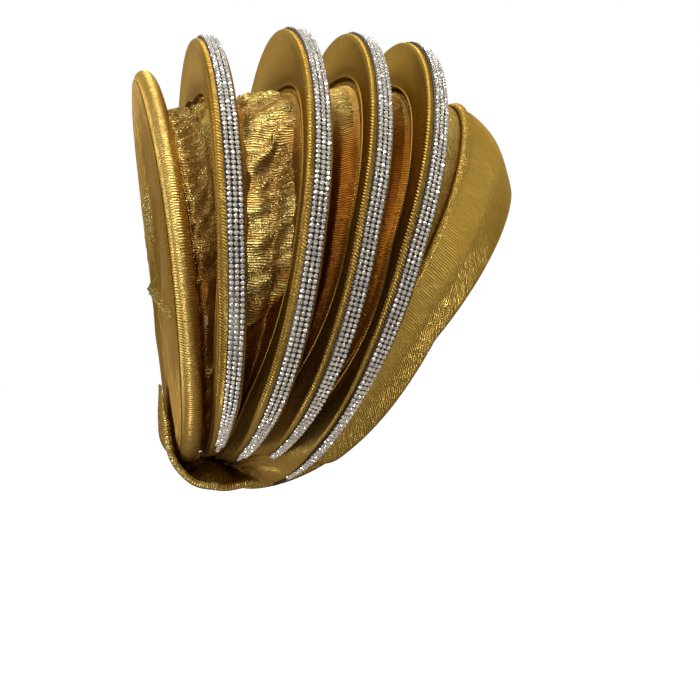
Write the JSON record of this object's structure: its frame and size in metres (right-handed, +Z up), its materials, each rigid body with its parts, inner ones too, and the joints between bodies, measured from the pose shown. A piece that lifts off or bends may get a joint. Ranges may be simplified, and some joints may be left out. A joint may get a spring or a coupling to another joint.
{
  "type": "turban",
  "caption": "Ready-tied gold turban: a hollow pleated cap with padded fan pleats edged in rhinestone bands, a ribbed brow band and a padded back.",
  "frame": {"origin": "head seat: the point inside the crown that rests on top of the wearer's head", "axes": "+Z up, the wearer faces -Y, the wearer's left is +X"},
  "size_m": [0.2746, 0.265, 0.3058],
  "materials": {
    "gold_cloth": "metallic lame",
    "crown_cloth": "metallic lame, gathered",
    "band_cloth": "metallic lame, ribbed",
    "rhinestones": "cut stones in a mesh"
  },
  "bodies": {
    "root": {"crown": "crown_cloth", "fin_1": "gold_cloth", "fin_2": "gold_cloth", "fin_3": "gold_cloth", "fin_4": "gold_cloth", "rhinestone_band_1": "rhinestones", "rhinestone_band_2": "rhinestones", "rhinestone_band_3": "rhinestones", "rhinestone_band_4": "rhinestones", "front_band": "band_cloth", "back_pad": "gold_cloth", "back_drape": "crown_cloth", "nape_sling": "crown_cloth"}
  },
  "joints": []
}
